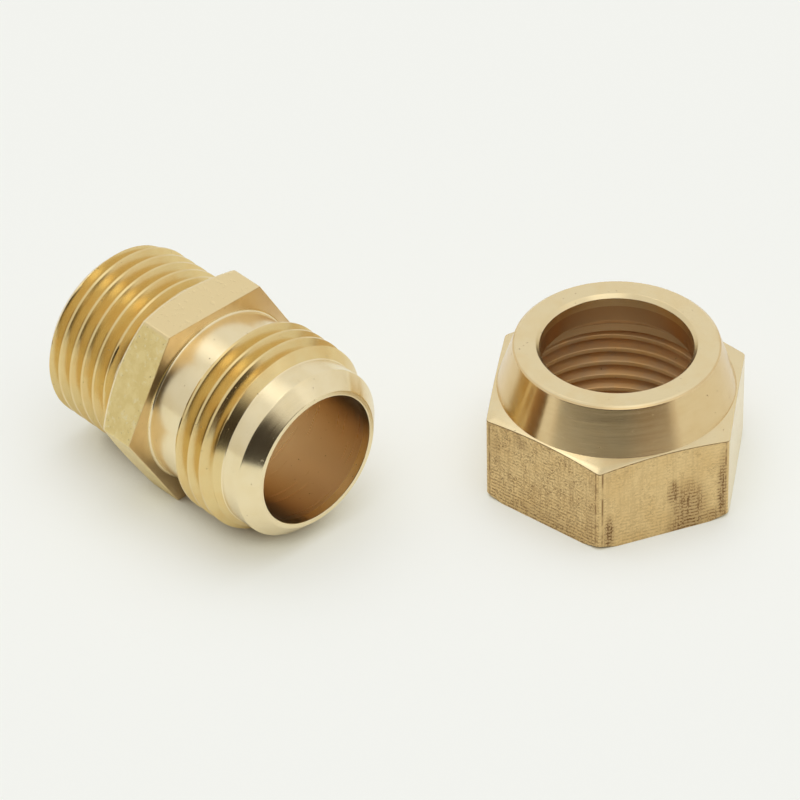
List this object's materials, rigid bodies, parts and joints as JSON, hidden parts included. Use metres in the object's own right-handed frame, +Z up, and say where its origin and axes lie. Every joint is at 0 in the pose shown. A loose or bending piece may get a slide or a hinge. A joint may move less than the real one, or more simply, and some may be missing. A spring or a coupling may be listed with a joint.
{
  "type": "flare fitting",
  "caption": "Brass 45 degree flare fitting taken apart: a hexagon connector with a flare thread and a pipe thread, and its conical flare nut standing beside it.",
  "frame": {"origin": "on the bench, under the middle of the pair's bounding box", "axes": "+Z up from the bench; +X from the connector towards the nut, along the pair's longest side; +Y away from the viewer who sees the connector's nose"},
  "size_m": [0.0748, 0.0356, 0.0221],
  "materials": {
    "connector_brass": "turned brass, satin, with polished collar and nose",
    "nut_brass": "turned cone and rim over drawn, streaked hexagon flats"
  },
  "bodies": {
    "connector": {"connector_body": "connector_brass"},
    "nut": {"flare_nut": "nut_brass"}
  },
  "joints": [
    {"name": "nut_turn", "type": "hinge", "parent": "connector", "child": "nut", "pos_m": [0.0233, -0.00023, 0.0082], "axis": [0, 0, 1], "continuous": true}
  ]
}
